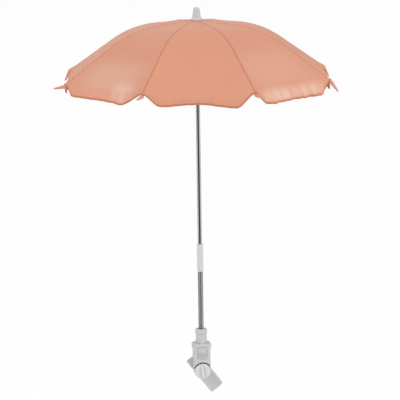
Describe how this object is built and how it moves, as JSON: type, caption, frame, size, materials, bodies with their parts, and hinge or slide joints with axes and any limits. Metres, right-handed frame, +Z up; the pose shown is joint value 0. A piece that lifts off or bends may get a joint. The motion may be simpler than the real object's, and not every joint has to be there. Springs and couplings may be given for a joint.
{
  "type": "pram parasol",
  "caption": "Folding octagonal parasol with a valance on a straight pole, with a bendable neck and a tilting clamp that grips the tube of a pram.",
  "frame": {"origin": "on the axis of the gripped tube, straight behind the pivot that the clamp tilts on", "axes": "+Z up along the pole, -Y towards the front of the clamp, where the knob is, +X to its right"},
  "size_m": [0.6698, 0.6766, 0.9251],
  "materials": {
    "coral_cloth": "woven, matt",
    "coral_plastic": "satin",
    "white_plastic": "satin",
    "grey_plastic": "satin",
    "bright_chrome": "polished",
    "rib_steel": "zinc plated",
    "grip_rubber": "matt"
  },
  "bodies": {
    "clamp": {"clamp_hook": "white_plastic", "grip_liner": "grip_rubber", "friction_washer": "grip_rubber"},
    "pad": {"pressure_pad": "grey_plastic"},
    "knob": {"tilt_knob": "white_plastic", "clamp_screw": "rib_steel"},
    "socket": {"socket_housing": "white_plastic", "socket_collar": "white_plastic", "button_spring": "rib_steel"},
    "button": {"release_button": "white_plastic"},
    "neck_foot": {"neck_plug": "grey_plastic", "neck_coil_1": "bright_chrome"},
    "pole": {"neck_coil_4": "bright_chrome", "neck_sleeve": "white_plastic", "pole_tube": "bright_chrome", "catch_spring": "rib_steel", "top_notch": "white_plastic", "notch_wire": "rib_steel", "canopy_crown": "coral_cloth", "ferrule": "white_plastic"},
    "slider": {"runner": "white_plastic", "runner_wire": "rib_steel"},
    "neck_link_2": {"neck_coil_2": "bright_chrome"},
    "neck_link_3": {"neck_coil_3": "bright_chrome"},
    "rib_arm_1": {"rib_1": "rib_steel", "rib_tip_1": "coral_plastic", "canopy_cloth_1": "coral_cloth"},
    "stay_1": {"stretcher_1": "rib_steel"},
    "rib_arm_2": {"rib_2": "rib_steel", "rib_tip_2": "coral_plastic", "canopy_cloth_2": "coral_cloth"},
    "stay_2": {"stretcher_2": "rib_steel"},
    "rib_arm_3": {"rib_3": "rib_steel", "rib_tip_3": "coral_plastic", "canopy_cloth_3": "coral_cloth"},
    "stay_3": {"stretcher_3": "rib_steel"},
    "rib_arm_4": {"rib_4": "rib_steel", "rib_tip_4": "coral_plastic", "canopy_cloth_4": "coral_cloth"},
    "stay_4": {"stretcher_4": "rib_steel"},
    "rib_arm_5": {"rib_5": "rib_steel", "rib_tip_5": "coral_plastic", "canopy_cloth_5": "coral_cloth"},
    "stay_5": {"stretcher_5": "rib_steel"},
    "rib_arm_6": {"rib_6": "rib_steel", "rib_tip_6": "coral_plastic", "canopy_cloth_6": "coral_cloth"},
    "stay_6": {"stretcher_6": "rib_steel"},
    "rib_arm_7": {"rib_7": "rib_steel", "rib_tip_7": "coral_plastic", "canopy_cloth_7": "coral_cloth"},
    "stay_7": {"stretcher_7": "rib_steel"},
    "rib_arm_8": {"rib_8": "rib_steel", "rib_tip_8": "coral_plastic", "canopy_cloth_8": "coral_cloth"},
    "stay_8": {"stretcher_8": "rib_steel"}
  },
  "joints": [
    {"name": "knob_turn", "type": "hinge", "parent": "clamp", "child": "knob", "pos_m": [0, -0.05612, 0], "axis": [0, 1, 0], "range_deg": [-360, 1260]},
    {"name": "pad_travel", "type": "slide", "parent": "clamp", "child": "pad", "axis": [0, 1, 0], "range_m": [-0.002, 0.007]},
    {"name": "pole_tilt", "type": "hinge", "parent": "clamp", "child": "socket", "pos_m": [0, -0.03032, 0], "axis": [0, 1, 0], "range_deg": [-80, 80]},
    {"name": "button_press", "type": "slide", "parent": "socket", "child": "button", "axis": [0, 1, 0], "range_m": [0, 0.003], "stiffness_N_per_m": 900, "springref_m": -0.002, "deforming": ["button_spring"]},
    {"name": "pole_swivel", "type": "hinge", "parent": "socket", "child": "neck_foot", "pos_m": [0, -0.04717, 0.0905], "axis": [0, 0, 1], "continuous": true},
    {"name": "neck_bend", "type": "hinge", "parent": "neck_foot", "child": "neck_link_2", "pos_m": [0, -0.04717, 0.12367], "axis": [0, 1, 0], "range_deg": [-22, 22]},
    {"name": "neck_bend_2", "type": "hinge", "parent": "neck_link_2", "child": "neck_link_3", "pos_m": [0, -0.04717, 0.17], "axis": [0, 1, 0], "range_deg": [-22, 22]},
    {"name": "neck_bend_3", "type": "hinge", "parent": "neck_link_3", "child": "pole", "pos_m": [0, -0.04717, 0.21633], "axis": [0, 1, 0], "range_deg": [-22, 22]},
    {"name": "canopy_fold", "type": "hinge", "parent": "pole", "child": "rib_arm_1", "pos_m": [0.01162, -0.04417, 0.8305], "axis": [-0.2504, 0.9681, 0], "range_deg": [0, 60], "deforming": ["catch_spring", "canopy_cloth_1", "canopy_cloth_2", "canopy_cloth_3", "canopy_cloth_4", "canopy_cloth_5", "canopy_cloth_6", "canopy_cloth_7", "canopy_cloth_8"]},
    {"name": "rib_fold_2", "type": "hinge", "parent": "pole", "child": "rib_arm_2", "pos_m": [0.00609, -0.03683, 0.8305], "axis": [-0.8616, 0.5075, 0], "range_deg": [0, 60]},
    {"name": "rib_fold_3", "type": "hinge", "parent": "pole", "child": "rib_arm_3", "pos_m": [-0.003, -0.03555, 0.8305], "axis": [-0.9681, -0.2504, 0], "range_deg": [0, 60]},
    {"name": "rib_fold_4", "type": "hinge", "parent": "pole", "child": "rib_arm_4", "pos_m": [-0.01034, -0.04108, 0.8305], "axis": [-0.5075, -0.8616, 0], "range_deg": [0, 60]},
    {"name": "rib_fold_5", "type": "hinge", "parent": "pole", "child": "rib_arm_5", "pos_m": [-0.01162, -0.05017, 0.8305], "axis": [0.2504, -0.9681, 0], "range_deg": [0, 60]},
    {"name": "rib_fold_6", "type": "hinge", "parent": "pole", "child": "rib_arm_6", "pos_m": [-0.00609, -0.05751, 0.8305], "axis": [0.8616, -0.5075, 0], "range_deg": [0, 60]},
    {"name": "rib_fold_7", "type": "hinge", "parent": "pole", "child": "rib_arm_7", "pos_m": [0.003, -0.05879, 0.8305], "axis": [0.9681, 0.2504, 0], "range_deg": [0, 60]},
    {"name": "rib_fold_8", "type": "hinge", "parent": "pole", "child": "rib_arm_8", "pos_m": [0.01034, -0.05326, 0.8305], "axis": [0.5075, 0.8616, 0], "range_deg": [0, 60]},
    {"name": "stay_fold_1", "type": "hinge", "parent": "rib_arm_1", "child": "stay_1", "pos_m": [0.17214, -0.00265, 0.79397], "axis": [-0.2504, 0.9681, 0], "range_deg": [-120, 0]},
    {"name": "stay_fold_2", "type": "hinge", "parent": "rib_arm_2", "child": "stay_2", "pos_m": [0.09024, 0.10603, 0.79397], "axis": [-0.8616, 0.5075, 0], "range_deg": [-120, 0]},
    {"name": "stay_fold_3", "type": "hinge", "parent": "rib_arm_3", "child": "stay_3", "pos_m": [-0.04452, 0.12497, 0.79397], "axis": [-0.9681, -0.2504, 0], "range_deg": [-120, 0]},
    {"name": "stay_fold_4", "type": "hinge", "parent": "rib_arm_4", "child": "stay_4", "pos_m": [-0.1532, 0.04307, 0.79397], "axis": [-0.5075, -0.8616, 0], "range_deg": [-120, 0]},
    {"name": "stay_fold_5", "type": "hinge", "parent": "rib_arm_5", "child": "stay_5", "pos_m": [-0.17214, -0.09169, 0.79397], "axis": [0.2504, -0.9681, 0], "range_deg": [-120, 0]},
    {"name": "stay_fold_6", "type": "hinge", "parent": "rib_arm_6", "child": "stay_6", "pos_m": [-0.09024, -0.20037, 0.79397], "axis": [0.8616, -0.5075, 0], "range_deg": [-120, 0]},
    {"name": "stay_fold_7", "type": "hinge", "parent": "rib_arm_7", "child": "stay_7", "pos_m": [0.04452, -0.21931, 0.79397], "axis": [0.9681, 0.2504, 0], "range_deg": [-120, 0]},
    {"name": "stay_fold_8", "type": "hinge", "parent": "rib_arm_8", "child": "stay_8", "pos_m": [0.1532, -0.13741, 0.79397], "axis": [0.5075, 0.8616, 0], "range_deg": [-120, 0]},
    {"name": "runner_slide", "type": "hinge", "parent": "stay_1", "child": "slider", "pos_m": [0.01162, -0.04417, 0.75744], "axis": [-0.2504, 0.9681, 0], "range_deg": [0, 60]}
  ],
  "couplings": [
    {"joint": "pad_travel", "follows": "knob_turn", "m_per_rad": 0.00031831},
    {"joint": "neck_bend_2", "follows": "neck_bend", "ratio": 1},
    {"joint": "neck_bend_3", "follows": "neck_bend", "ratio": 1},
    {"joint": "rib_fold_2", "follows": "canopy_fold", "ratio": 1},
    {"joint": "rib_fold_3", "follows": "canopy_fold", "ratio": 1},
    {"joint": "rib_fold_4", "follows": "canopy_fold", "ratio": 1},
    {"joint": "rib_fold_5", "follows": "canopy_fold", "ratio": 1},
    {"joint": "rib_fold_6", "follows": "canopy_fold", "ratio": 1},
    {"joint": "rib_fold_7", "follows": "canopy_fold", "ratio": 1},
    {"joint": "rib_fold_8", "follows": "canopy_fold", "ratio": 1},
    {"joint": "stay_fold_1", "follows": "canopy_fold", "ratio": -2},
    {"joint": "stay_fold_2", "follows": "canopy_fold", "ratio": -2},
    {"joint": "stay_fold_3", "follows": "canopy_fold", "ratio": -2},
    {"joint": "stay_fold_4", "follows": "canopy_fold", "ratio": -2},
    {"joint": "stay_fold_5", "follows": "canopy_fold", "ratio": -2},
    {"joint": "stay_fold_6", "follows": "canopy_fold", "ratio": -2},
    {"joint": "stay_fold_7", "follows": "canopy_fold", "ratio": -2},
    {"joint": "stay_fold_8", "follows": "canopy_fold", "ratio": -2},
    {"joint": "runner_slide", "follows": "canopy_fold", "ratio": 1}
  ]
}
